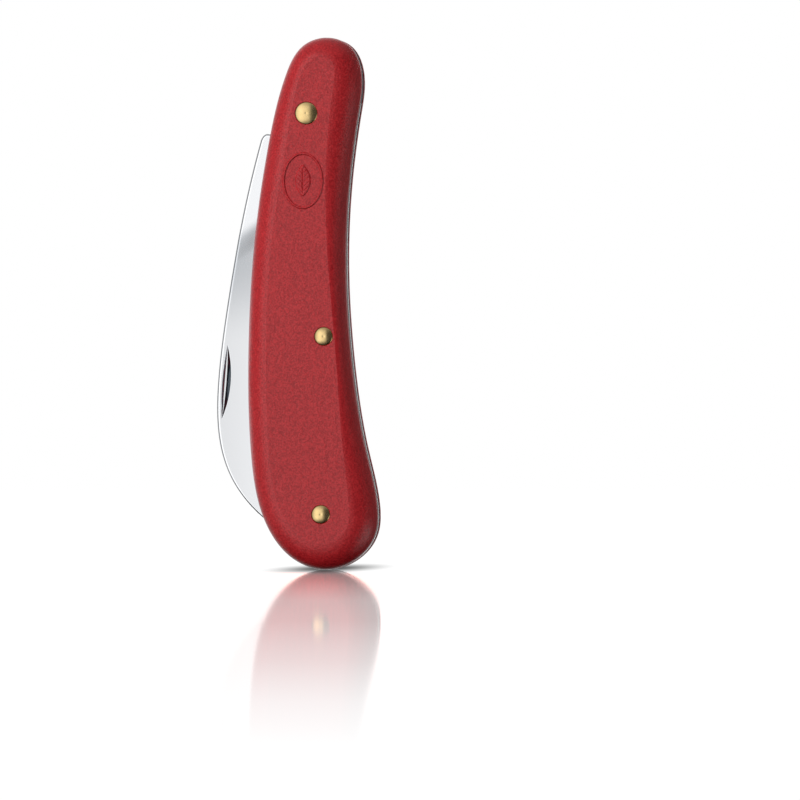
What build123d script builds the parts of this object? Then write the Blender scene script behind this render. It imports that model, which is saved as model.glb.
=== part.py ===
"""Folding grafting knife, closed, standing on its butt: +Z up the handle, +X to the hollow side where the
back spring shows, -X to the side that the blade swings out of, and the front scale facing -Y."""

import os
from math import acos, cos, degrees, radians, sin, tan

from build123d import *

# Stack across the knife, from the middle plane out to the face of a scale.
SPRING_THICK = 2.4
BLADE_THICK = 2.3
LINER_THICK = 0.7
SCALE_THICK = 5.8
SEAM = SPRING_THICK / 2 + LINER_THICK
FACE = SEAM + SCALE_THICK

# Handle outline, as (x, z): up the hollow side from the lowest point, over the top and down the full side.
HANDLE_POINTS = [
    (6.4, 0.0),
    (12.4, 2.1),
    (16.2, 6.8),
    (16.7, 14.0),
    (14.4, 24.8),
    (11.5, 43.0),
    (10.3, 62.0),
    (11.1, 81.0),
    (12.9, 94.5),
    (13.5, 102.6),
    (10.9, 108.4),
    (6.2, 110.0),
    (1.4, 108.3),
    (-2.1, 102.5),
    (-5.6, 89.0),
    (-8.6, 69.0),
    (-10.0, 44.0),
    (-9.4, 23.5),
    (-6.4, 9.7),
    (-0.6, 2.2),
]

# Edge of the flat panel on each scale, point for point with the handle outline.
PANEL_POINTS = [
    (6.0, 5.4),
    (9.7, 6.7),
    (11.4, 9.6),
    (11.5, 14.4),
    (10.3, 24.8),
    (8.9, 43.0),
    (7.3, 62.0),
    (6.7, 81.0),
    (7.6, 94.2),
    (8.5, 101.6),
    (7.9, 105.0),
    (5.6, 106.0),
    (3.0, 104.6),
    (1.0, 100.6),
    (-1.4, 88.5),
    (-4.4, 69.0),
    (-5.7, 44.0),
    (-5.0, 23.5),
    (-2.6, 12.2),
    (1.6, 7.0),
]
EDGE_WALL = 0.8
ROLL_STEPS = 4
LINER_ROLL = 0.03
SPRING_ROLL = 0.02

# Rivet centres, as (x, z).
PIVOT = (2.7, 94.2)
CENTRE = (6.3, 48.2)
BUTT = (5.7, 11.5)

# Rivet diameters: shank, front head, back head, and the seat that the back head is closed down into.
PIVOT_SHANK = 3.2
PIVOT_FRONT_HEAD = 4.6
PIVOT_BACK_HEAD = 4.4
PIVOT_BACK_SEAT = 4.8
SMALL_SHANK = 2.2
SMALL_FRONT_HEAD = 3.8
SMALL_BACK_HEAD = 3.2
SMALL_BACK_SEAT = 3.6

# Rivet fits, and depths measured from the face of a scale.
RIVET_PLAY = 0.03
HEAD_CROWN = 0.48
FRONT_SEAT_DEPTH = 1.0
BACK_SEAT_DEPTH = 1.5
BACK_RIM_DEPTH = 0.15
WASHER_THICK = 0.5
WASHER_PLAY = 0.06

# Tang and spring end: the spring bears on one flat of the tang when the knife is shut, and on the other when
# it is open. Distances are from the pivot's centre.
SPRING_FLAT = 5.2
TANG_FLAT = 5.16
TANG_CAM = 5.9
KICK_DROP = 5.8
SPRING_END_INNER = 4.4
SPRING_END_OUTER = 2.3
HEEL = (-7.3, 90.4)
HEEL_SLOPE = 9.0
HEEL_ROUND = 0.8

# Blade, as (x, z).
TIP = (-2.5, 7.6)
CHOIL = (1.3, 80.6)
GRIND_TOP = 72.6
GRIND_SLOPE = 0.064
EDGE_HALF = 0.12
NICK_TOP = (-14.6, 46.4)
NICK_LOW = (-15.8, 31.2)
NICK_FLOOR = 0.45

# Badge on the front scale: an oval rim round a leaf.
BADGE = (2.0, 80.3)
BADGE_WIDTH = 8.6
BADGE_HEIGHT = 11.8
BADGE_LINE = 0.6
BADGE_RELIEF = 0.25
LEAF_LENGTH = 6.6
LEAF_WIDTH = 3.4
BADGE_ROOT = 0.4


def across(y):
    """The plane square to the knife's thickness at y: its axes are +X and +Z, and it faces -Y."""
    return Plane(origin=(0, y, 0), x_dir=(1, 0, 0), z_dir=(0, -1, 0))


def rivet_circles(pivot_diameter, small_diameter, play, mode=Mode.ADD):
    """A circle at each of the three rivets, play wider all round, in the sketch that calls this."""
    with Locations(PIVOT):
        Circle(pivot_diameter / 2 + play, mode=mode)
    with Locations(CENTRE, BUTT):
        Circle(small_diameter / 2 + play, mode=mode)


def outline(roll):
    """The handle outline drawn in towards the panel and filled: roll 0 is the handle's edge, 1 the panel's.
    It lies in the XY plane, where y stands for the handle's z."""
    pairs = zip(HANDLE_POINTS, PANEL_POINTS)
    points = [(x + roll * (panel_x - x), z + roll * (panel_z - z)) for (x, z), (panel_x, panel_z) in pairs]
    with BuildSketch(Plane.XY) as filled:
        with BuildLine():
            Spline(*points, periodic=True)
        make_face()
    return filled.sketch


# Scales: moulded. A short wall stands at the seam, and a border rolls over from it, as a quarter of an ellipse,
# to the flat panel. Each rivet head has a seat sunk in the panel.
def scale(side, pivot_seat, small_seat, play, seat_depth):
    """One scale: side is -1 for the front and 1 for the back."""
    with BuildPart() as moulding:
        with BuildSketch(across(side * SEAM)):
            add(outline(0))
        extrude(amount=-side * EDGE_WALL)
        for step in range(ROLL_STEPS + 1):
            angle = radians(90 * step / ROLL_STEPS)
            height = EDGE_WALL + (SCALE_THICK - EDGE_WALL) * sin(angle)
            with BuildSketch(across(side * (SEAM + height))):
                add(outline(1 - cos(angle)))
        loft()
        with BuildSketch(across(side * SEAM)):
            rivet_circles(PIVOT_SHANK, SMALL_SHANK, RIVET_PLAY)
        extrude(amount=-side * SCALE_THICK, mode=Mode.SUBTRACT)
        with BuildSketch(across(side * FACE)):
            rivet_circles(pivot_seat, small_seat, play)
        extrude(amount=side * seat_depth, mode=Mode.SUBTRACT)
    return moulding


plain_front = scale(-1, PIVOT_FRONT_HEAD, SMALL_FRONT_HEAD, RIVET_PLAY, FRONT_SEAT_DEPTH)
back_scale = scale(1, PIVOT_BACK_SEAT, SMALL_BACK_SEAT, 0, BACK_SEAT_DEPTH)

# The front scale has a badge raised on its panel: an oval rim round a leaf.
with BuildPart() as front_scale:
    add(plain_front.part)
    with BuildSketch(across(BADGE_ROOT - FACE)):
        with Locations(BADGE):
            Ellipse(BADGE_WIDTH / 2, BADGE_HEIGHT / 2)
            Ellipse(BADGE_WIDTH / 2 - BADGE_LINE, BADGE_HEIGHT / 2 - BADGE_LINE, mode=Mode.SUBTRACT)
        with BuildLine():
            leaf_tip = (BADGE[0], BADGE[1] + LEAF_LENGTH / 2)
            leaf_foot = (BADGE[0], BADGE[1] - LEAF_LENGTH / 2)
            ThreePointArc(leaf_tip, (BADGE[0] + LEAF_WIDTH / 2, BADGE[1]), leaf_foot)
            ThreePointArc(leaf_foot, (BADGE[0] - LEAF_WIDTH / 2, BADGE[1]), leaf_tip)
        make_face()
    extrude(amount=BADGE_RELIEF + BADGE_ROOT)


# Liners: blanked steel sheets between the scales and the spring, a hair smaller than the handle.
def liner(inner_y):
    """One liner, from inner_y out to the seam on the same side."""
    with BuildPart() as sheet:
        with BuildSketch(across(inner_y)):
            add(outline(LINER_ROLL))
            rivet_circles(PIVOT_SHANK, SMALL_SHANK, RIVET_PLAY, Mode.SUBTRACT)
        extrude(amount=-LINER_THICK if inner_y > 0 else LINER_THICK)
    return sheet


front_liner = liner(-SPRING_THICK / 2)
back_liner = liner(SPRING_THICK / 2)

# Back spring: one blanked and hardened bar. It follows the hollow side of the handle from a block round the
# butt rivet to its free end, which lies on the flat of the tang.
with BuildPart() as back_spring:
    with BuildSketch(across(-SPRING_THICK / 2)):
        add(outline(SPRING_ROLL))
        with BuildLine():
            flat_x = PIVOT[0] + SPRING_FLAT
            end_inner = (flat_x, PIVOT[1] + SPRING_END_INNER)
            end_outer = (flat_x + 5.2, PIVOT[1] + SPRING_END_OUTER)
            FilletPolyline((1.6, -5), (1.6, 16), (3.6, 38), (3.6, 54), (flat_x, 83), end_inner, radius=30)
            Polyline(end_inner, end_outer, (20, end_outer[1]), (20, -5), (1.6, -5))
        make_face(mode=Mode.INTERSECT)
        with Locations(CENTRE, BUTT):
            Circle(SMALL_SHANK / 2 + RIVET_PLAY, mode=Mode.SUBTRACT)
    extrude(amount=-SPRING_THICK)

# Blade: the tang has two bearing flats joined by a cam, a kick that meets the spring, and a square heel. The
# back runs out full and drops to the point. Half the thickness is made, then mirrored.
with BuildPart() as blade:
    with BuildSketch(across(0)) as blade_outline:
        with BuildLine():
            cam_angle = degrees(acos(TANG_FLAT / TANG_CAM))
            cam = CenterArc(PIVOT, TANG_CAM, cam_angle, 180 - 2 * cam_angle)
            heel_root = PIVOT[0] - TANG_FLAT
            heel_rise = tan(radians(HEEL_SLOPE)) * (heel_root - HEEL[0])
            Polyline(cam @ 1, (heel_root, HEEL[1] - heel_rise), HEEL)
            Spline(
                HEEL,
                (-10.6, 77.5),
                (-14.6, 55.8),
                (-16.65, 39.3),
                (-16.78, 30.0),
                (-14.8, 20.8),
                (-9.2, 12.4),
                TIP,
            )
            Spline(TIP, (-4.3, 22.0), (-4.2, 42.0), (-1.9, 62.0), CHOIL)
            kick = (PIVOT[0] + TANG_FLAT, PIVOT[1] - KICK_DROP)
            Polyline(CHOIL, (3.0, 82.6), kick, cam @ 0)
        make_face()
        fillet(blade_outline.vertices().sort_by_distance(HEEL)[0], HEEL_ROUND)
        with Locations(PIVOT):
            Circle(PIVOT_SHANK / 2 + RIVET_PLAY, mode=Mode.SUBTRACT)
    extrude(amount=-BLADE_THICK / 2)
    down = Vector(TIP[0], 0, TIP[1] - GRIND_TOP).normalized()
    out = Vector(down.Z, GRIND_SLOPE, -down.X)
    with BuildSketch(Plane(origin=(0, EDGE_HALF, GRIND_TOP), x_dir=out, z_dir=down.cross(out))) as grind:
        Polygon((-6, 0), (8, 0), (13, -4), (24, -9), (24, -80), (-6, -80), align=None)
        fillet(grind.vertices().sort_by_distance((8, 0))[0], 4)
    extrude(amount=3, mode=Mode.SUBTRACT)
    mirror(about=Plane.XZ)
    with BuildSketch(across(-NICK_FLOOR)):
        with BuildLine():
            ThreePointArc(NICK_TOP, (-14.0, 40.0), NICK_LOW)
            ThreePointArc(NICK_LOW, (-15.6, 38.2), NICK_TOP)
        make_face()
    extrude(amount=BLADE_THICK, mode=Mode.SUBTRACT)


# Rivets: brass pins, headed at the front and closed down over a washer in the seat at the back.
def rivet(centre, shank, front_head, back_head):
    """One rivet, turned about the line through its centre: both heads are low domes."""
    x, z = centre
    with BuildPart() as pin:
        with BuildSketch(Plane(origin=(x, 0, z), x_dir=(1, 0, 0), z_dir=(0, 0, 1))):
            with BuildLine():
                front_rim = (front_head / 2, -FACE)
                back_rim = (back_head / 2, FACE - BACK_RIM_DEPTH)
                TangentArc((0, -FACE - HEAD_CROWN), front_rim, tangent=(1, 0))
                Polyline(
                    front_rim,
                    (front_head / 2, FRONT_SEAT_DEPTH - FACE),
                    (shank / 2, FRONT_SEAT_DEPTH - FACE),
                    (shank / 2, FACE - BACK_SEAT_DEPTH + WASHER_THICK),
                    (back_head / 2, FACE - BACK_SEAT_DEPTH + WASHER_THICK),
                    back_rim,
                )
                TangentArc((0, FACE + HEAD_CROWN), back_rim, tangent=(1, 0))
                Line((0, FACE + HEAD_CROWN), (0, -FACE - HEAD_CROWN))
            make_face()
        revolve(axis=Axis((x, 0, z), (0, 1, 0)))
    return pin


def washer(centre, shank, seat):
    """One washer, on the floor of the back seat and under the closed head."""
    with BuildPart() as ring:
        with BuildSketch(across(FACE - BACK_SEAT_DEPTH)):
            with Locations(centre):
                Circle(seat / 2 - WASHER_PLAY)
                Circle(shank / 2 + RIVET_PLAY, mode=Mode.SUBTRACT)
        extrude(amount=-WASHER_THICK)
    return ring


pivot_pin = rivet(PIVOT, PIVOT_SHANK, PIVOT_FRONT_HEAD, PIVOT_BACK_HEAD)
centre_pin = rivet(CENTRE, SMALL_SHANK, SMALL_FRONT_HEAD, SMALL_BACK_HEAD)
butt_pin = rivet(BUTT, SMALL_SHANK, SMALL_FRONT_HEAD, SMALL_BACK_HEAD)
pivot_washer = washer(PIVOT, PIVOT_SHANK, PIVOT_BACK_SEAT)
centre_washer = washer(CENTRE, SMALL_SHANK, SMALL_BACK_SEAT)
butt_washer = washer(BUTT, SMALL_SHANK, SMALL_BACK_SEAT)

pieces = {
    "front_scale": front_scale,
    "back_scale": back_scale,
    "front_liner": front_liner,
    "back_liner": back_liner,
    "back_spring": back_spring,
    "blade": blade,
    "pivot_pin": pivot_pin,
    "centre_pin": centre_pin,
    "butt_pin": butt_pin,
    "pivot_washer": pivot_washer,
    "centre_washer": centre_washer,
    "butt_washer": butt_washer,
}
os.makedirs("parts", exist_ok=True)
for name, piece in pieces.items():
    piece.part.label = name
    export_step(piece.part, f"parts/{name}.step")
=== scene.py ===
"""Looks of a folding grafting knife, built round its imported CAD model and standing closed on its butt.
Sizes are in millimetres and are turned into metres as each mesh is made."""

from math import cos, pi, radians, sin

import bmesh
import bpy
import numpy as np
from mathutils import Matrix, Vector
from mathutils.geometry import tessellate_polygon


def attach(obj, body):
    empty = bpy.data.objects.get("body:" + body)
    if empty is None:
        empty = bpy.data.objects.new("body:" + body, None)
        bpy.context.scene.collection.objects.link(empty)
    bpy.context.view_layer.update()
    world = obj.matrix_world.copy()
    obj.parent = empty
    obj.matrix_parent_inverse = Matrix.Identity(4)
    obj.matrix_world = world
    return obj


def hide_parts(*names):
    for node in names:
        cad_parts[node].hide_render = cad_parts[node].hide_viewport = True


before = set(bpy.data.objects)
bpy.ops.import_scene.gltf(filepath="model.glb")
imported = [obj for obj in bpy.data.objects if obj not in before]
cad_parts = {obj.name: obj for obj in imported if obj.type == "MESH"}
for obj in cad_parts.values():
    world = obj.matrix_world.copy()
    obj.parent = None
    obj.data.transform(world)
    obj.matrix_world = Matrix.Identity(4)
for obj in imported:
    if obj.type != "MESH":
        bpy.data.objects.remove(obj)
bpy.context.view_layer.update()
MM = 0.001

# ------------------------------------------------------------------------------------------------------
# Camera: a long lens, level with the lower third of the handle and a little to the right of square on,
# so that a sliver of the hollow side shows.
CAMERA_AZIMUTH = radians(6.7)
CAMERA_DISTANCE = 1500.0
CAMERA_HEIGHT = 35.1
AIM_RIGHT = 21.1
LENS_PER_METRE = 217.2

camera_data = bpy.data.cameras.new("camera")
camera_data.sensor_width = 36
camera_data.lens = LENS_PER_METRE * CAMERA_DISTANCE * MM
camera_data.clip_start = 0.01
camera = bpy.data.objects.new("camera", camera_data)
camera.location = Vector((
    AIM_RIGHT * cos(CAMERA_AZIMUTH) + CAMERA_DISTANCE * sin(CAMERA_AZIMUTH),
    AIM_RIGHT * sin(CAMERA_AZIMUTH) - CAMERA_DISTANCE * cos(CAMERA_AZIMUTH),
    CAMERA_HEIGHT,
)) * MM
camera.rotation_euler = (pi / 2, 0, CAMERA_AZIMUTH)
bpy.context.scene.collection.objects.link(camera)
bpy.context.scene.camera = camera

# ------------------------------------------------------------------------------------------------------
# Scales: two handle mouldings in red nylon with a fine spark-eroded grain. Each rises from the seam by
# a short wall, rolls over in a border and ends in a flat panel, with a seat for every rivet head.
SEAM = 1.9
FACE = 7.7
WALL = 0.8
SEAM_BREAK = 0.12
HANDLE_POINTS = [
    (6.4, 0.0), (12.4, 2.1), (16.2, 6.8), (16.7, 14.0), (14.4, 24.8), (11.5, 43.0), (10.3, 62.0),
    (11.1, 81.0), (12.9, 94.5), (13.5, 102.6), (10.9, 108.4), (6.2, 110.0), (1.4, 108.3), (-2.1, 102.5),
    (-5.6, 89.0), (-8.6, 69.0), (-10.0, 44.0), (-9.4, 23.5), (-6.4, 9.7), (-0.6, 2.2),
]
PANEL_POINTS = [
    (6.0, 5.4), (9.7, 6.7), (11.4, 9.6), (11.5, 14.4), (10.3, 24.8), (8.9, 43.0), (7.3, 62.0),
    (6.7, 81.0), (7.6, 94.2), (8.5, 101.6), (7.9, 105.0), (5.6, 106.0), (3.0, 104.6), (1.0, 100.6),
    (-1.4, 88.5), (-4.4, 69.0), (-5.7, 44.0), (-5.0, 23.5), (-2.6, 12.2), (1.6, 7.0),
]
PIVOT = (2.7, 94.2)
CENTRE = (6.3, 48.2)
BUTT = (5.7, 11.5)
PIVOT_SHANK = 3.2
SMALL_SHANK = 2.2
SHANK_PLAY = 0.03
HOLE_BREAK = 0.05
SEAT_LIP = 0.12
FRONT_SEATS = (4.66, 3.86)
BACK_SEATS = (4.8, 3.6)
FRONT_SEAT_DEPTH = 1.0
BACK_SEAT_DEPTH = 1.5
RED = (0.415, 0.016, 0.020, 1)
RED_DEEP = (0.24, 0.004, 0.007, 1)
GRAIN = 0.33


def through(points, steps, closed=False):
    """A smooth curve through the points, steps to a span: cubic pieces whose parameter is the chord's
    length, with one slope and one bend at each point. Open ends lean as the cubic through their four
    nearest points."""
    p = np.array(points, float)
    if closed:
        p = np.vstack([p, p[:1]])
    t = np.r_[0, np.cumsum(np.linalg.norm(np.diff(p, axis=0), axis=1))]
    h = np.diff(t)[:, None]
    rise = np.diff(p, axis=0) / h
    spans = len(h)
    if closed:
        i = np.arange(spans)
        before, rise_before = np.roll(h, 1, axis=0), np.roll(rise, 1, axis=0)
        a = np.zeros((spans, spans))
        a[i, i - 1] = h[:, 0]
        a[i, i] = 2 * (before + h)[:, 0]
        a[i, (i + 1) % spans] = before[:, 0]
        slope = np.linalg.solve(a, 3 * (h * rise_before + before * rise))
        slope = np.vstack([slope, slope[:1]])
    else:
        i = np.arange(1, spans)
        a = np.eye(spans + 1)
        b = np.zeros_like(p)
        a[i, i - 1] = h[1:, 0]
        a[i, i] = 2 * (h[:-1] + h[1:])[:, 0]
        a[i, i + 1] = h[:-1, 0]
        b[1:-1] = 3 * (h[1:] * rise[:-1] + h[:-1] * rise[1:])
        b[0] = np.polyfit(t[:4] - t[0], p[:4], 3)[2]
        b[-1] = np.polyfit(t[-4:] - t[-1], p[-4:], 3)[2]
        slope = np.linalg.solve(a, b)
    u = (np.arange(steps) / steps)[None, :, None]
    h = h[:, None]
    start, end, leave, arrive = p[:-1, None], p[1:, None], slope[:-1, None], slope[1:, None]
    line = (2 * u**3 - 3 * u**2 + 1) * start + (u**3 - 2 * u**2 + u) * h * leave
    line = (line + (3 * u**2 - 2 * u**3) * end + (u**3 - u**2) * h * arrive).reshape(-1, 2)
    return line if closed else np.vstack([line, p[-1]])


def ring(centre, radius, count=64):
    """Points round a circle: the centre plus radius times (cosine, sine) of even steps of angle."""
    angle = 2 * pi * np.arange(count) / count
    return np.array(centre) + radius * np.column_stack([np.cos(angle), np.sin(angle)])


def at(loop, y):
    """A plane (x, z) loop set at y, as points in space."""
    return np.column_stack([loop[:, 0], np.broadcast_to(y, len(loop)), loop[:, 1]])


def strip(rows, closed=True):
    """A patch of four-sided faces on a stack of rows with equal counts, each row closed on itself or
    open."""
    rows = np.array(rows)
    count, width = rows.shape[:2]
    k = np.arange(count * width).reshape(count, width)
    across = np.roll(k, -1, axis=1) if closed else k[:, 1:]
    k = k if closed else k[:, :-1]
    faces = np.stack([k[:-1], across[:-1], across[1:], k[1:]], axis=-1)
    return rows.reshape(-1, 3), faces.reshape(-1, 4).tolist()


def flat(loops, y):
    """A flat patch at y that fills the first loop and leaves the others open, in triangles."""
    points = [at(loop, 0.0).tolist() for loop in loops]
    return at(np.vstack(loops), y), tessellate_polygon(points)


def solid(name, patches, crease=35):
    """One closed piece from patches whose borders meet: they are put in metres, welded and turned
    outwards, and edges sharper than crease degrees stay sharp."""
    starts = np.cumsum([0] + [len(points) for points, faces in patches])
    faces = [[k + start for k in face] for (points, some), start in zip(patches, starts) for face in some]
    mesh = bpy.data.meshes.new(name)
    mesh.from_pydata(np.vstack([points for points, some in patches]) * MM, [], faces)
    work = bmesh.new()
    work.from_mesh(mesh)
    bmesh.ops.remove_doubles(work, verts=work.verts, dist=0.002 * MM)
    bmesh.ops.dissolve_degenerate(work, edges=work.edges, dist=0.0005 * MM)
    bmesh.ops.recalc_face_normals(work, faces=work.faces)
    work.to_mesh(mesh)
    work.free()
    mesh.shade_smooth()
    mesh.set_sharp_from_angle(angle=radians(crease))
    piece = bpy.data.objects.new(name, mesh)
    bpy.context.scene.collection.objects.link(piece)
    return piece


class Wire:
    """A socket of a shader tree with Python's operators: arithmetic on values adds Math nodes."""

    def __init__(self, tree, socket):
        self.tree = tree
        self.socket = socket

    def node(self, kind, settings, inputs, output=0):
        """Any other node, from its type, its settings (a ramp's stops as place and colour) and the
        values or wires of its inputs."""
        made = self.tree.nodes.new(kind)
        for name, value in settings.items():
            if name == "stops":
                for place, colour in value[1:-1]:
                    made.color_ramp.elements.new(place)
                for element, (place, colour) in zip(made.color_ramp.elements, value):
                    element.position = place
                    element.color = colour
            else:
                setattr(made, name, value)
        for name, value in inputs.items():
            if isinstance(value, Wire):
                self.tree.links.new(value.socket, made.inputs[name])
            else:
                made.inputs[name].default_value = value
        return Wire(self.tree, made.outputs[output])

    def maths(self, operation, other=0.0):
        """This value, and another if the operation takes two, through a Math node."""
        return self.node("ShaderNodeMath", {"operation": operation}, {0: self, 1: other})

    def __add__(self, other):
        return self.maths("ADD", other)

    def __sub__(self, other):
        return self.maths("SUBTRACT", other)

    def __rsub__(self, other):
        return self * -1.0 + other

    def __mul__(self, other):
        return self.maths("MULTIPLY", other)

    def __truediv__(self, other):
        return self.maths("DIVIDE", other)

    __radd__ = __add__
    __rmul__ = __mul__

    def rise(self, low, high):
        """0 below low and 1 above high, with a smooth step between."""
        span = {"Value": self, "From Min": low, "From Max": high}
        return self.node("ShaderNodeMapRange", {"interpolation_type": "SMOOTHSTEP"}, span)

    def mixed(self, first, second):
        """Two colours mixed by this value."""
        return self.node("ShaderNodeMix", {"data_type": "RGBA"}, {0: self, 6: first, 7: second}, 2)

    def noise(self, size, stretch=(1, 1, 1), detail=2.0, roughness=0.5):
        """Noise on a place in millimetres, with blots of that size, drawn out along the axes by
        stretch."""
        scaled = self.node(
            "ShaderNodeVectorMath", {"operation": "DIVIDE"}, {0: self, 1: tuple(size * s for s in stretch)}
        )
        inputs = {"Vector": scaled, "Scale": 1.0, "Detail": detail, "Roughness": roughness}
        return self.node("ShaderNodeTexNoise", {}, inputs)

    def parts(self):
        """The x, y and z of a vector."""
        split = self.node("ShaderNodeSeparateXYZ", {}, {"Vector": self}).socket.node
        return [Wire(self.tree, socket) for socket in split.outputs]


def finish(name, **constants):
    """A material whose Principled surface has these constants on its own sockets. Gives the material, a
    function that feeds one of its sockets, and the place on the piece in millimetres."""
    material = bpy.data.materials.new(name)
    material.use_nodes = True
    tree = material.node_tree
    surface = next(node for node in tree.nodes if node.type == "BSDF_PRINCIPLED")
    for socket, value in constants.items():
        surface.inputs[socket.replace("_", " ")].default_value = value
    coordinates = tree.nodes.new("ShaderNodeTexCoord")
    metres = Wire(tree, coordinates.outputs["Object"])
    place = metres.node("ShaderNodeVectorMath", {"operation": "SCALE"}, {0: metres, "Scale": 1 / MM})

    def feed(socket, wire):
        tree.links.new(wire.socket, surface.inputs[socket])

    return material, feed, place


def bumped(height, depth):
    """A surface direction from a height of 0 to 1 that stands for depth millimetres."""
    return height.node("ShaderNodeBump", {}, {"Height": height, "Strength": 1.0, "Distance": depth * MM})


def moulded_red():
    """Red nylon: eroded grain all over, a little polished by the hand on the border, with a faint
    mottle."""
    material, feed, place = finish("moulded_red", IOR=1.5)
    grain = place.noise(GRAIN, detail=3.0, roughness=0.6)
    pits = place.noise(GRAIN * 2.3, detail=1.0)
    mottle = place.noise(6.0, detail=3.0)
    x, y, z = place.parts()
    height = y.maths("ABSOLUTE")
    panel = height.rise(FACE - 1.2, FACE - 0.05)
    tone = (grain - 0.5) * 3.6 + (pits - 0.5) * 0.7 + (mottle - 0.5) * 0.3 + 0.5
    feed("Base Color", tone.mixed(RED_DEEP, RED))
    feed("Roughness", panel * 0.05 + (mottle - 0.5) * 0.08 + 0.31)
    feed("Normal", bumped(grain * 0.7 + pits * 0.3, 0.105))
    return material


# Roll of the border: most of a quarter of an ellipse from the wall to the panel, which it meets at a
# slight crease, drawn point for point between the handle's outline and the panel's.
ROLL_END = radians(82)
ROLL_WIDTH = 4.5
handle_line = through(HANDLE_POINTS, 18, closed=True)
panel_line = through(PANEL_POINTS, 18, closed=True)


def scale(name, side, seats, seat_depth, badge=None):
    """One scale: side is -1 for the front and 1 for the back. Its rows go up a broken seam edge, the
    wall and the roll to the panel; each rivet's rows go round a lip, down its seat and through its hole
    to the seam. The seats are the diameters at the pivot rivet and at the two small ones."""
    turn = np.linspace(0, pi / 2, 4)
    roll = np.linspace(0, ROLL_END, 24)[1:]
    drawn_in = (1 - np.cos(roll)) / (1 - cos(ROLL_END))
    share = np.r_[SEAM_BREAK / ROLL_WIDTH * (1 - np.sin(turn)), 0, drawn_in]
    rolled = WALL + (FACE - SEAM - WALL) * np.sin(roll) / sin(ROLL_END)
    rise = np.r_[SEAM_BREAK * (1 - np.cos(turn)), WALL, rolled]
    loops = handle_line + share[:, None, None] * (panel_line - handle_line)
    patches = [strip([at(loop, side * (SEAM + up)) for loop, up in zip(loops, rise)])]
    tops, feet = [loops[-1]], [loops[0]]
    for centre, seat, shank in (
        (PIVOT, seats[0], PIVOT_SHANK),
        (CENTRE, seats[1], SMALL_SHANK),
        (BUTT, seats[1], SMALL_SHANK),
    ):
        hole = shank / 2 + SHANK_PLAY
        bottom = FACE - seat_depth
        lip = SEAT_LIP * (1 - np.sin(turn))
        drop = SEAT_LIP * (1 - np.cos(turn))
        radii = np.r_[seat / 2 + lip, seat / 2, hole + HOLE_BREAK, hole, hole]
        heights = np.r_[FACE - drop, bottom, bottom, bottom - HOLE_BREAK, SEAM]
        patches.append(strip([at(ring(centre, r), side * y) for r, y in zip(radii, heights)]))
        tops.append(ring(centre, radii[0]))
        feet.append(ring(centre, hole))
    if badge:
        rim, patch = badge
        tops.append(rim)
        patches.append(patch)
    patches += [flat(tops, side * FACE), flat(feet, side * SEAM)]
    return solid(name, patches, crease=6)


# Badge: an oval rim round a leaf, raised on the panel of the front scale by the same mould.
BADGE = (2.0, 80.3)
BADGE_HALF = (4.3, 5.9)
BADGE_LINE = 0.6
BADGE_RELIEF = 0.25
BADGE_APRON = 0.12
LEAF_LENGTH = 6.6
LEAF_WIDTH = 3.4
MIDRIB = 0.13
MIDRIB_REACH = 2.7
VEIN = 0.12
VEIN_STEP = 0.95
VEIN_LEAN = 0.9
DRAFT = 0.22


def smooth(x):
    """0 below 0 and 1 above 1, with a smooth step between."""
    x = np.clip(x, 0, 1)
    return x * x * (3 - 2 * x)


def badge_patch():
    """Ovals one inside another, down to a short line. Their height above the panel is the rim, a band
    with drafted sides, or the leaf, a crowned shape between two arcs with a sunk midrib and side
    veins."""
    inward = np.r_[np.linspace(-BADGE_APRON, 0.9, 26), np.linspace(0.96, BADGE_HALF[0], 62)]
    angle = 2 * pi * np.arange(224) / 224
    x = (BADGE_HALF[0] - inward)[:, None] * np.cos(angle)
    z = (BADGE_HALF[1] - inward)[:, None] * np.sin(angle)
    band = smooth(inward / DRAFT) * smooth((BADGE_LINE - inward) / DRAFT)
    sag = LEAF_WIDTH / 2
    arc = (LEAF_LENGTH**2 / 4 + sag**2) / (2 * sag)
    half = np.sqrt(np.maximum(arc**2 - z**2, 0)) - (arc - sag)
    inside = half - np.abs(x)
    leaf = smooth(inside / (1.6 * DRAFT)) * (0.82 + 0.18 * smooth(inside / 1.2))
    midrib = np.exp(-((x / MIDRIB) ** 2)) * smooth((MIDRIB_REACH - np.abs(z)) / 0.4)
    along = (z + LEAF_LENGTH / 2 - VEIN_LEAN * np.abs(x)) / VEIN_STEP
    veins = np.exp(-(((along - np.round(along)) / VEIN) ** 2)) * smooth((inside - 0.15) / 0.2)
    up = BADGE_RELIEF * (band[:, None] + leaf * (1 - 0.5 * midrib - 0.25 * veins * (1 - midrib)))
    up[0] = 0
    points = np.stack([x + BADGE[0], -FACE - up, z + BADGE[1]], axis=-1)
    return points[0][:, [0, 2]], strip(points)


front_scale = scale("front_scale_moulding", -1, FRONT_SEATS, FRONT_SEAT_DEPTH, badge_patch())
back_scale = scale("back_scale_moulding", 1, BACK_SEATS, BACK_SEAT_DEPTH)
red_nylon = moulded_red()
for piece, node in ((front_scale, "front_scale"), (back_scale, "back_scale")):
    piece.data.materials.append(red_nylon)
    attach(piece, "handle")
    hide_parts(node)

# ------------------------------------------------------------------------------------------------------
# Liners: two blanked steel sheets, a hair smaller than the handle, between the scales and the blade's
# slot. Their edges are tumbled.
SPRING_HALF = 1.2
LINER_ROLL = 0.03
LINER_BREAK = 0.06
STEEL = (0.56, 0.57, 0.58, 1)


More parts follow.
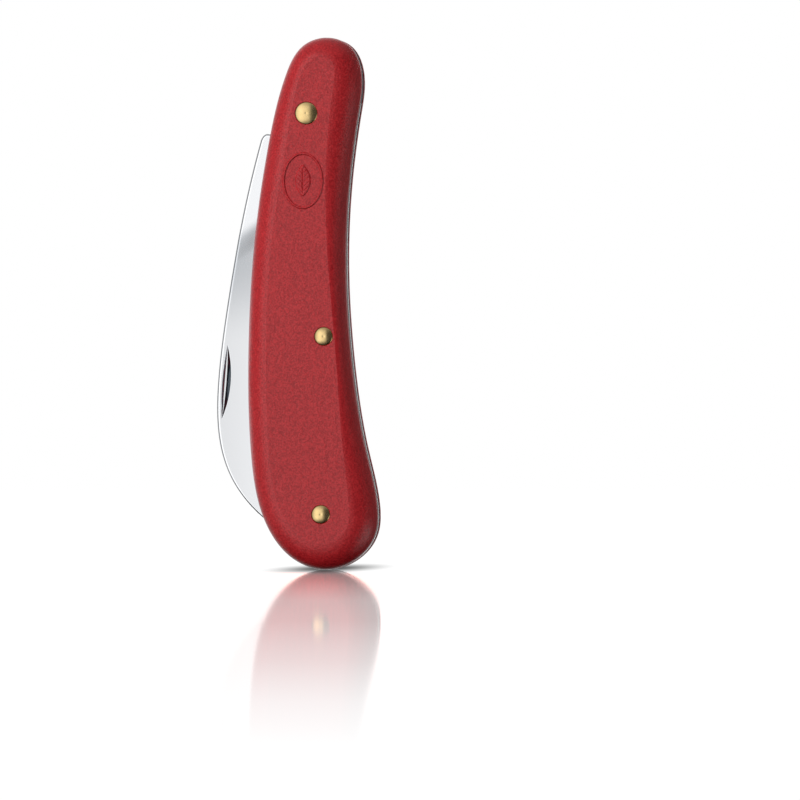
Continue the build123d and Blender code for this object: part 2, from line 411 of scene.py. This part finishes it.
def inset(loop, distance):
    """A closed loop drawn in by distance: each point moves along the mean of its two edges' inward
    directions, by as much as keeps both edges at that distance."""
    ahead = np.roll(loop, -1, axis=0) - loop
    ahead /= np.linalg.norm(ahead, axis=1)[:, None]
    inward = np.column_stack([-ahead[:, 1], ahead[:, 0]])
    back = np.roll(inward, 1, axis=0)
    share = np.maximum(1 + np.sum(inward * back, axis=1), 0.5)
    return loop + distance * (inward + back) / share[:, None]


def plate(name, loop, holes, low, high, edge):
    """A flat plate between two heights: its edge is rounded by a quarter circle at both faces, and each
    hole is a straight wall. The loop runs anticlockwise, seen from the front."""
    turn = np.linspace(0, pi / 2, 4)
    draw = edge * (1 - np.sin(turn))
    rise = edge * (1 - np.cos(turn))
    rows = [at(inset(loop, d), low + up) for d, up in zip(draw, rise)]
    rows += [at(inset(loop, d), high - up) for d, up in zip(draw[::-1], rise[::-1])]
    patches = [strip(rows)] + [strip([at(hole, low), at(hole, high)]) for hole in holes]
    patches += [flat([inset(loop, edge), *holes], y) for y in (low, high)]
    return solid(name, patches)


def brushed(name, colour, grain, roughness, scratch):
    """Steel with fine lines along z: a noise drawn out along the piece shifts its roughness and its
    bump."""
    material, feed, place = finish(name, Metallic=1.0)
    lines = place.noise(grain, stretch=(1, 1, 60), detail=3.0, roughness=0.65)
    cloud = place.noise(5.0, detail=2.0)
    dark = tuple(0.86 * c for c in colour[:3]) + (1,)
    feed("Base Color", (lines * 0.6 + cloud * 0.4).mixed(dark, colour))
    feed("Roughness", (lines - 0.5) * 0.16 + (cloud - 0.5) * 0.10 + roughness)
    feed("Normal", bumped(lines, scratch))
    return material


liner_line = handle_line + LINER_ROLL * (panel_line - handle_line)
rivet_holes = [
    ring(PIVOT, PIVOT_SHANK / 2 + SHANK_PLAY),
    ring(CENTRE, SMALL_SHANK / 2 + SHANK_PLAY),
    ring(BUTT, SMALL_SHANK / 2 + SHANK_PLAY),
]
liner_steel = brushed("blanked_steel", STEEL, 0.12, 0.34, 0.004)
for name, low, high in (("front_liner", -SEAM, -SPRING_HALF), ("back_liner", SPRING_HALF, SEAM)):
    sheet = plate(name + "_sheet", liner_line, rivet_holes, low, high, LINER_BREAK)
    sheet.data.materials.append(liner_steel)
    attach(sheet, "handle")
    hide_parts(name)

# ------------------------------------------------------------------------------------------------------
# Back spring: one hardened steel bar along the hollow side, from a block round the butt rivet to the
# free end that bears on the tang. Its back is ground and polished after riveting.
SPRING_ROLL = 0.02
SPRING_BREAK = 0.16
SPRING_FLAT_X = 7.9
SPRING_INNER = [(1.6, -5.0), (1.6, 16.0), (3.6, 38.0), (3.6, 54.0), (7.9, 83.0), (7.9, 98.6)]
SPRING_EASE = 1.6
SPRING_END = [(7.9, 98.6), (13.1, 96.5), (20.0, 96.5)]
SPRING_STEEL = (0.66, 0.69, 0.69, 1)


def eased(corners, reach):
    """A line through corners, each rounded by a parabola that leaves the line reach before the
    corner."""
    p = np.array(corners, float)
    ahead = np.diff(p, axis=0)
    ahead /= np.linalg.norm(ahead, axis=1)[:, None]
    u = np.linspace(0, 1, 7)[None, :, None]
    corner = p[1:-1, None]
    leave = corner - reach * ahead[:-1, None]
    arrive = corner + reach * ahead[1:, None]
    bends = (1 - u) ** 2 * leave + 2 * u * (1 - u) * corner + u**2 * arrive
    return np.vstack([p[:1], bends.reshape(-1, 2), p[-1:]])


def kept(curve, measure):
    """The stretch of an open curve where measure is above 0, with its ends put where measure is 0."""
    value = measure(curve)
    cross = np.flatnonzero(np.diff(np.sign(value)) != 0)
    share = (value[cross] / (value[cross] - value[cross + 1]))[:, None]
    ends = curve[cross] + share * (curve[cross + 1] - curve[cross])
    return np.vstack([ends[:1], curve[cross[0] + 1 : cross[-1] + 1], ends[-1:]])


def inner_side(points):
    """How far points lie to the +X side of the spring's inner edge and below its end slope."""
    inner = eased(SPRING_INNER, SPRING_EASE)
    end = np.array(SPRING_END)
    right = points[:, 0] - np.interp(points[:, 1], inner[:, 1], inner[:, 0])
    return np.minimum(right, np.interp(points[:, 0], end[:, 0], end[:, 1]) - points[:, 1])


spring_line = handle_line + SPRING_ROLL * (panel_line - handle_line)
outer = kept(np.roll(spring_line, len(spring_line) // 4, axis=0), inner_side)
inner = eased(SPRING_INNER, SPRING_EASE)[::-1]
inner = inner[inner[:, 1] > outer[0, 1] + 0.3]
spring = plate(
    "back_spring_bar",
    np.vstack([outer, inner]),
    rivet_holes[1:],
    -SPRING_HALF,
    SPRING_HALF,
    SPRING_BREAK,
)
spring.data.materials.append(brushed("spring_steel", SPRING_STEEL, 0.10, 0.24, 0.003))
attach(spring, "handle")
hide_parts("back_spring")

# ------------------------------------------------------------------------------------------------------
# Blade: one steel piece. Its flanks are hollow ground below a plunge and polished, its back has a small
# round, its nail nick is cut on the front, and its tang turns on the pivot rivet between the liners.
BLADE_HALF = 1.15
HEEL = (-7.3, 90.4)
TIP = (-2.5, 7.6)
CHOIL = (1.3, 80.6)
SPINE_POINTS = [
    HEEL, (-10.6, 77.5), (-14.6, 55.8), (-16.65, 39.3), (-16.78, 30.0), (-14.8, 20.8), (-9.2, 12.4), TIP,
]
EDGE_POINTS = [TIP, (-4.3, 22.0), (-4.2, 42.0), (-1.9, 62.0), CHOIL]
BACK_ROUND = 0.62
GRIND_TOP = 73.4
GRIND_SLOPE = 0.064
GRIND_HOLLOW = 0.10
GRIND_WIDTH = 15.5
PLUNGE_RUN = 7.0
PLUNGE_SLOPE = 0.65
PLUNGE_LEVEL = 8.0
EDGE_HALF = 0.12
EDGE_LEAST = 0.012
EDGE_BEVEL = 0.7
EDGE_SHARE = 0.12
NARROW = 9.0
TANG_CAM = 5.9
TANG_FLAT = 5.16
NICK_TOP = 46.4
NICK_LOW = 31.2
NICK_DEPTH = 0.70
NICK_TAPER = 1.2
BLADE_STEEL = (0.885, 0.895, 0.915, 1)


def circle(ends, middle):
    """Centre and radius of the circle through two ends and a middle point."""
    (x1, z1), (x2, z2), (x3, z3) = ends[0], middle, ends[1]
    a = np.array([[x2 - x1, z2 - z1], [x3 - x1, z3 - z1]])
    b = np.array([x2**2 - x1**2 + z2**2 - z1**2, x3**2 - x1**2 + z3**2 - z1**2]) / 2
    centre = np.linalg.solve(a, b)
    return *centre.tolist(), float(np.hypot(*(np.array(middle) - centre)))


NICK_ENDS = ((-14.6, NICK_TOP), (-15.8, NICK_LOW))
NICK_INNER = circle(NICK_ENDS, (-13.9, 39.8))
NICK_OUTER = circle(NICK_ENDS, (-15.75, 38.2))
NICK_WALL = 0.20
NICK_SLOPE = 0.60


def rounded(radius, distance):
    """What a round of that radius takes off a face, at a distance from its corner."""
    return radius - np.sqrt(np.maximum(radius**2 - np.maximum(radius - distance, 0) ** 2, 0))


def half_thickness(x, z, from_back, from_edge):
    """Half the blade's thickness: flat stock above the plunge, below it a slope that falls to the edge
    and is hollowed between, with a round along the back, and a fine bevel to the edge. The slope starts
    from a line that runs from the tip to x = 0 at the plunge."""
    line = TIP[0] * (GRIND_TOP - z) / (GRIND_TOP - TIP[1])
    d = np.maximum(line - x, 0)
    hollow = GRIND_HOLLOW * np.sin(pi * np.clip(d / GRIND_WIDTH, 0, 1))
    ground = (EDGE_HALF + GRIND_SLOPE * d - hollow) * smooth(from_edge / EDGE_BEVEL + EDGE_SHARE)
    plunge = GRIND_TOP - PLUNGE_SLOPE * np.maximum(d - PLUNGE_LEVEL, 0)
    cut = smooth((plunge - z) / PLUNGE_RUN)
    half = np.minimum(BLADE_HALF, ground * cut + BLADE_HALF * (1 - cut))
    lost = rounded(BACK_ROUND, from_back) + rounded(EDGE_HALF, from_edge) * (1 - cut)
    return np.maximum(half - lost, EDGE_LEAST)


def nick_depth(x, z):
    """The nail nick: between two arcs, a steep wall by the back, a narrow floor and a slope up to the
    flank. The share across it is by the distances inside its two circles."""
    from_inner = NICK_INNER[2] - np.hypot(x - NICK_INNER[0], z - NICK_INNER[1])
    from_outer = NICK_OUTER[2] - np.hypot(x - NICK_OUTER[0], z - NICK_OUTER[1])
    inside = (from_inner > 0) & (from_outer > 0)
    width = np.maximum(from_inner + from_outer, 0.001)
    share = from_outer / width
    depth = np.minimum(smooth(share / NICK_WALL), np.clip((1 - share) / NICK_SLOPE, 0, 1))
    return np.where(inside, NICK_DEPTH * depth * np.clip(width / NICK_TAPER, 0, 1), 0)


spine = through(SPINE_POINTS, 60)[::-1]
edge_line = through(EDGE_POINTS, 60)
levels = np.r_[
    TIP[1] + 0.04 + 5.0 * np.linspace(0, 1, 40) ** 2,
    np.linspace(12.9, NICK_LOW - 0.5, 60),
    np.linspace(NICK_LOW - 0.4, NICK_TOP + 0.4, 120),
    np.linspace(NICK_TOP + 0.7, 67.5, 56),
    np.linspace(67.7, 74.0, 44),
    np.linspace(74.4, CHOIL[1], 18),
]
back_x = np.interp(levels, spine[:, 1], spine[:, 0])[:, None]
edge_x = np.interp(levels, edge_line[:, 1], edge_line[:, 0])[:, None]
width = edge_x - back_x

# Columns across the blade: close together round the back and over the nick, wider to the bevel, close
# again down it. They draw together where the blade is narrow.
near = np.r_[
    BACK_ROUND * (1 - np.cos(np.linspace(0, pi / 2, 7))),
    [0.69, 0.75],
    np.arange(0.80, 2.98, 0.036),
    np.linspace(3.05, 4.4, 8),
]
far = np.linspace(0, 1, 18)[1:-1]
bevel = np.array([1, 0.6, 0.3, 0.171, 0.1, 0.05, 0.02, 0])
squeeze = np.minimum(width / NARROW, 1)
across = near * squeeze
bevelled = EDGE_BEVEL * squeeze
middle = across[:, -1:] + (width - bevelled - across[:, -1:]) * far
across = np.hstack([across, middle, width - bevelled * bevel])
grid_x = back_x + across
grid_z = np.broadcast_to(levels[:, None], grid_x.shape)
half = half_thickness(grid_x, grid_z, across, width - across)
front = np.stack([grid_x, -half + nick_depth(grid_x, grid_z), grid_z], axis=-1)
rear = np.stack([grid_x, half, grid_z], axis=-1)
flank = strip(np.concatenate([front, rear[:, ::-1]], axis=1))
tip_row = np.concatenate([front[0], rear[0, ::-1]])
tip_cap = strip([tip_row, np.tile([TIP[0], 0, TIP[1]], (len(tip_row), 1))])

# The tang goes on from the flank's last row: up the back, round the heel, over the cam and down to the
# kick. Its rounded sides have as many rows as the bevel has columns, and change from the back's round
# to the edge's bevel on the way.
upper_back = spine[spine[:, 1] > CHOIL[1] + 0.1]
upper_back = upper_back[upper_back[:, 1] < HEEL[1] - 1.3]
HEEL_LINE = np.array([0.988, -0.156])
heel_root = np.array(HEEL) + (PIVOT[0] - TANG_FLAT - HEEL[0]) / HEEL_LINE[0] * HEEL_LINE
u = np.linspace(0, 1, 9)[:, None]
before, corner, after = upper_back[-1], np.array(HEEL), HEEL + HEEL_LINE
corner = 0.75 * corner + 0.125 * (before + after)
heel_turn = (1 - u) ** 2 * before + 2 * u * (1 - u) * corner + u**2 * after
cam_start = np.arccos(TANG_FLAT / TANG_CAM)
cam_angle = np.linspace(pi - cam_start, cam_start, 60)
cam = np.array(PIVOT) + TANG_CAM * np.column_stack([np.cos(cam_angle), np.sin(cam_angle)])
kick = [(PIVOT[0] + TANG_FLAT, 88.4), (3.0, 82.6)]
chain = np.vstack([upper_back, heel_turn[1:], heel_root, cam, kick])
row = np.column_stack([grid_x[-1], grid_z[-1]])
loop = np.vstack([row[:1], chain, row[-1:]])
ahead = np.gradient(loop, axis=0)
ahead /= np.linalg.norm(ahead, axis=1)[:, None]
inward = np.column_stack([ahead[:, 1], -ahead[:, 0]])
edged = np.interp(np.arange(len(loop)), len(upper_back) + np.array([6, 14]), [0, 1])
tang_rows = []
for k in range(len(bevel)):
    draw = (1 - edged) * across[-1, k] + edged * (width[-1, 0] - across[-1, -1 - k])
    drawn = loop + draw[:, None] * inward
    drawn[0] = row[k]
    drawn[-1] = row[-1 - k]
    tang_rows.append((drawn, (1 - edged) * half[-1, k] + edged * half[-1, -1 - k]))
tang_front = [at(drawn, -up) for drawn, up in tang_rows]
tang_rear = [at(drawn, up) for drawn, up in tang_rows]
bore = ring(PIVOT, PIVOT_SHANK / 2 + SHANK_PLAY)
face_loop = np.vstack([tang_rows[-1][0][:-1], row[len(bevel) : 1 - len(bevel)][::-1]])
blade = solid(
    "ground_blade",
    [
        flank,
        tip_cap,
        strip(tang_front[::-1] + tang_rear, closed=False),
        flat([face_loop, bore], -BLADE_HALF),
        flat([face_loop, bore], BLADE_HALF),
        strip([at(bore, -BLADE_HALF), at(bore, BLADE_HALF)]),
    ],
    crease=40,
)


def hypotenuse(a, b):
    """The length of a vector from its two parts, as wires."""
    return (a * a + b * b).maths("SQRT")


def polished_blade():
    """Polished blade steel: fine lines along the blade, a rougher finish in the plunge where the wheel
    can't reach with painted shade darkening its colour, and painted shade making the nick's walls and
    slope dark."""
    material, feed, place = finish("blade_steel", Metallic=1.0)
    x, y, z = place.parts()
    lines = place.noise(0.09, stretch=(1, 1, 80), detail=3.0, roughness=0.6)
    cloud = place.noise(4.0, stretch=(1, 1, 2), detail=2.0)
    # Painted shade: the colour is darkened down into the plunge for the grey band of the hollow grind,
    # beside its rougher finish.
    above = z - (x + 8.7) * PLUNGE_SLOPE
    plunge = z.rise(46.0, 65.0) * (1 - above.rise(70.0, 72.9))
    polish_and_painted_shade = (1 - plunge * 0.37) * (0.97 + (cloud - 0.5) * 0.05 + (lines - 0.5) * 0.04)
    # Painted shade: the nick's wall and slope, all but its narrow floor, are painted near black for the
    # shade in the cut.
    from_inner = NICK_INNER[2] - hypotenuse(x - NICK_INNER[0], z - NICK_INNER[1])
    from_outer = NICK_OUTER[2] - hypotenuse(x - NICK_OUTER[0], z - NICK_OUTER[1])
    share = from_outer / (from_inner + from_outer)
    bottom = share.rise(NICK_WALL - 0.06, NICK_WALL) * (1 - share.rise(1 - NICK_SLOPE, 1.06 - NICK_SLOPE))
    cut = from_inner.rise(0.0, 0.05) * from_outer.rise(0.0, 0.05) * (1 - y.rise(-0.1, 0.1)) * (1 - bottom)
    feed("Base Color", (polish_and_painted_shade * (1 - cut) - cut * 0.75).mixed((0.28, 0.33, 0.38, 1), BLADE_STEEL))
    feed("Roughness", plunge * 0.10 + (lines - 0.5) * 0.06 + (cloud - 0.5) * 0.04 + 0.17)
    feed("Normal", bumped(lines, 0.0004))
    return material


blade.data.materials.append(polished_blade())
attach(blade, "blade")
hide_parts("blade")

# ------------------------------------------------------------------------------------------------------
# Rivets: three brass pins, turned with a domed head at the front and closed to a smaller dome at the
# back, over a washer in its seat. Each dome keeps the small dimple of its centre drill.
HEAD_CROWN = 0.48
BACK_RIM_DEPTH = 0.15
WASHER_THICK = 0.5
RIM_ROUND = 0.16
DIMPLE = 0.26
DIMPLE_DEPTH = 0.06
BRASS = (0.86, 0.66, 0.33, 1)


def dome(radius, crown):
    """Half the outline of a dome, from its middle out: (radius, height above the rim). A low arc of
    that crown, less a small dimple, and rounded over at the rim."""
    r = radius * np.linspace(0, 1, 40)
    sphere = (radius**2 + crown**2) / (2 * crown)
    height = np.sqrt(sphere**2 - r**2) - (sphere - crown)
    height -= DIMPLE_DEPTH * np.exp(-((r / DIMPLE) ** 2))
    over = np.maximum(r - (radius - RIM_ROUND), 0)
    height += RIM_ROUND * 0.45 * (np.sqrt(1 - (over / RIM_ROUND) ** 2 * 0.999) - 1)
    return np.column_stack([r, height])


def rivet(name, centre, shank, front_head, back_head):
    """One rivet, its outline turned about the line along y through its centre."""
    front = dome(front_head / 2, HEAD_CROWN) * (1, -1) + (0, -FACE)
    back = dome(back_head / 2, HEAD_CROWN + BACK_RIM_DEPTH) + (0, FACE - BACK_RIM_DEPTH)
    shoulder = FACE - BACK_SEAT_DEPTH + WASHER_THICK
    middle = [
        (front_head / 2, FRONT_SEAT_DEPTH - FACE),
        (shank / 2, FRONT_SEAT_DEPTH - FACE),
        (shank / 2, shoulder),
        (back_head / 2, shoulder),
    ]
    outline = np.vstack([front, middle, back[::-1]])
    return solid(name, [strip([at(ring(centre, r, 96), y) for r, y in outline])], crease=30)


def turned_brass(name, centre):
    """Turned brass: fine rings about the rivet's own line, a warm cast, and a little tarnish towards
    the rim."""
    material, feed, place = finish(name, Metallic=1.0)
    x, y, z = place.parts()
    from_x = x - centre[0]
    from_z = z - centre[1]
    radius = hypotenuse(from_x, from_z)
    rings = (radius * 46.0).maths("SINE") * 0.5 + 0.5
    stain = place.noise(0.8, detail=3.0, roughness=0.6)
    worn = stain * 0.7 + rings * 0.12
    feed("Base Color", worn.mixed(BRASS, (0.74, 0.50, 0.20, 1)))
    feed("Roughness", (stain - 0.5) * 0.16 + 0.24)
    feed("Normal", bumped(rings * 0.5 + stain * 0.5, 0.0035))
    return material


for name, centre, shank, front_head, back_head in (
    ("pivot_pin", PIVOT, PIVOT_SHANK, 4.6, 4.4),
    ("centre_pin", CENTRE, SMALL_SHANK, 3.8, 3.2),
    ("butt_pin", BUTT, SMALL_SHANK, 3.8, 3.2),
):
    pin = rivet(name.replace("pin", "rivet"), centre, shank, front_head, back_head)
    pin.data.materials.append(turned_brass("turned_brass_" + name, centre))
    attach(pin, "handle")
    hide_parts(name)

# Washers: plain pressed brass rings under the closed heads. Their CAD shapes are right and stay.
WASHER_BRASS = (0.70, 0.50, 0.22, 1)
material, feed, place = finish("pressed_brass", Metallic=1.0)
dull = place.noise(0.5, detail=3.0)
feed("Base Color", dull.mixed(WASHER_BRASS, (0.50, 0.34, 0.14, 1)))
feed("Roughness", dull * 0.2 + 0.3)
for name in ("pivot_washer", "centre_washer", "butt_washer"):
    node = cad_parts[name]
    if not node.data.materials:
        node.data.materials.append(material)
    for slot in node.material_slots:
        slot.material = material

# ------------------------------------------------------------------------------------------------------
# Floor: a plain white sheet, set square to the knife. A gloss in front of the knife mirrors its foot and
# dies away with distance, its mirrored colour painted redder, and a painted soft shadow lies under the
# foot.
FLOOR_RADIUS = 1300.0
GLOSS_LENGTH = 840.0
GLOSS_MIDDLE = 45.0
GLOSS_STOPS = [
    (0, 0.97), (90, 0.90), (230, 0.69), (345, 0.64), (523, 0.42), (653, 0.18), (760, 0.04), (840, 0.0),
]
# Painted reflection tints: red raised above white, multiplied into the floor's gloss so the mirrored knife
# reads redder.
PAINTED_REFLECTION_TINT = (1.3, 1.02, 0.99, 1)
PAINTED_CONTACT_TINT = (2.1, 1.1, 1.0, 1)
SHADOW_BESIDE = 5.1
SHADOW_BEHIND = 10.0
SHADOW_HALF = 14.2
SHADOW_REACH = 55.0
SHADOW_GREY = (0.02, 0.02, 0.02, 1)
WHITE = (1, 1, 1, 1)

floor_rim = ring((0, 0), FLOOR_RADIUS, 96)
floor_mesh = bpy.data.meshes.new("floor")
floor_mesh.from_pydata(np.column_stack([floor_rim, np.zeros(96)]) * MM, [], [list(range(96))])
floor = bpy.data.objects.new("floor", floor_mesh)
bpy.context.scene.collection.objects.link(floor)
floor_white = bpy.data.materials.new("floor_white")
floor_white.use_nodes = True
floor_tree = floor_white.node_tree
floor_tree.nodes.clear()
floor_metres = Wire(floor_tree, floor_tree.nodes.new("ShaderNodeTexCoord").outputs["Object"])
floor_x, floor_y, floor_z = (part * (1 / MM) for part in floor_metres.parts())
in_front = 0 - floor_y
beside = (floor_x - GLOSS_MIDDLE).maths("ABSOLUTE")
gloss_stops = [(d / GLOSS_LENGTH, (w, w, w, 1)) for d, w in GLOSS_STOPS]
fade = in_front.node("ShaderNodeValToRGB", {"stops": gloss_stops}, {"Fac": in_front / GLOSS_LENGTH})
fade = fade * (1 - floor_y.rise(-12, 4)) * (1 - beside.rise(75, 140))
# Painted shadow: a soft dark oval under the foot, painted into the sheet's glow and the gloss colour; no
# lamp casts it.
shadow_x = (floor_x - SHADOW_BESIDE) / SHADOW_HALF
shadow_y = (floor_y - SHADOW_BEHIND) / SHADOW_REACH
from_shadow = hypotenuse(shadow_x, shadow_y)
shadow = (1 - from_shadow.rise(0.1, 1.0)) * 0.92
shade = shadow.mixed(WHITE, SHADOW_GREY)
# Painted reflection: the gloss colour is pushed red from a little in front of the foot outwards, and the
# painted shadow darkens it near the foot.
painted_near_tint = in_front.rise(15, 50).mixed(WHITE, PAINTED_CONTACT_TINT)
painted_far_tint = in_front.rise(80, 260).mixed(painted_near_tint, PAINTED_REFLECTION_TINT)
painted_reflection_colour = shadow.mixed(painted_far_tint, SHADOW_GREY)
sheet = shade.node("ShaderNodeEmission", {}, {"Color": shade, "Strength": 1.04})
gloss = shade.node("ShaderNodeBsdfGlossy", {}, {"Color": painted_reflection_colour, "Roughness": 0.045})
grazing = fade.node("ShaderNodeFresnel", {}, {"IOR": 1.45})
top = fade.node("ShaderNodeMixShader", {}, {0: fade * grazing, 1: sheet, 2: gloss})
floor_output = floor_tree.nodes.new("ShaderNodeOutputMaterial")
floor_tree.links.new(top.socket, floor_output.inputs["Surface"])
floor_mesh.materials.append(floor_white)
floor.visible_diffuse = False
floor.visible_glossy = False

# ------------------------------------------------------------------------------------------------------
# Light: a white studio. The surround has a large soft light at the front left, a lower one behind right
# and dark walls between; two soft lamps fill the colour in without a gleam of their own.
SURROUND = [
    (-180, 1.05), (-150, 1.05), (-140, 0.50), (-120, 0.34), (-66, 0.28), (-56, 0.55), (-44, 1.20),
    (-30, 1.50), (-18, 1.20), (-8, 1.06), (0, 1.03), (6, 0.70), (10, 0.25), (16, 0.07), (90, 0.05),
    (104, 0.16), (128, 0.19), (140, 0.11), (150, 0.08), (167, 0.10), (175, 1.05), (180, 1.05),
]
SURROUND_PEAK = 1.5
SHEEN_AZIMUTH = radians(83)
SHEEN_HEIGHT = radians(-22)
world = bpy.data.worlds.new("studio")
world.use_nodes = True
bpy.context.scene.world = world
tree = world.node_tree
tree.nodes.clear()
direction = Wire(tree, tree.nodes.new("ShaderNodeTexCoord").outputs["Generated"])
x, y, z = direction.parts()
turned = x.maths("ARCTAN2", 0 - y) / (2 * pi) + 0.5
stops = [((a + 180) / 360, (*[v / SURROUND_PEAK] * 3, 1)) for a, v in SURROUND]
level = turned.node("ShaderNodeValToRGB", {"stops": stops}, {"Fac": turned})
height = z.maths("ABSOLUTE")
wall = (1 - height.rise(0.35, 0.85)) * (z.rise(-0.75, -0.38) * 0.8 + 0.2)
level_part = x * sin(SHEEN_AZIMUTH) - y * cos(SHEEN_AZIMUTH)
towards = level_part * cos(SHEEN_HEIGHT) + z * sin(SHEEN_HEIGHT)
sheen = towards.rise(0.86, 0.985) * (1 - z.rise(-0.30, -0.08)) * 1.3
ambient = wall * level * SURROUND_PEAK + (1 - wall) * z.rise(-0.2, 0.9) * 0.35 + sheen
seen = Wire(tree, tree.nodes.new("ShaderNodeLightPath").outputs["Is Camera Ray"])
strength = seen + (1 - seen) * ambient
background = tree.nodes.new("ShaderNodeBackground")
background.inputs["Color"].default_value = (1, 1, 1, 1)
tree.links.new(strength.socket, background.inputs["Strength"])
output = tree.nodes.new("ShaderNodeOutputWorld")
tree.links.new(background.outputs[0], output.inputs["Surface"])

for name, azimuth, elevation, size, power in (
    ("key_fill", -38, 22, 0.30, 3.1),
    ("side_fill", 78, 12, 0.30, 0.6),
    ("back_fill", 160, 20, 0.35, 3.0),
):
    lamp_data = bpy.data.lights.new(name, "AREA")
    lamp_data.size = size
    lamp_data.energy = power
    lamp = bpy.data.objects.new(name, lamp_data)
    a, e = radians(azimuth), radians(elevation)
    away = Vector((sin(a) * cos(e), -cos(a) * cos(e), sin(e)))
    lamp.location = Vector((0, 0, 0.055)) + 0.6 * away
    lamp.rotation_euler = away.to_track_quat("Z", "Y").to_euler()
    lamp.visible_camera = False
    lamp.visible_glossy = False
    bpy.context.scene.collection.objects.link(lamp)

bpy.context.scene.view_settings.view_transform = "Standard"
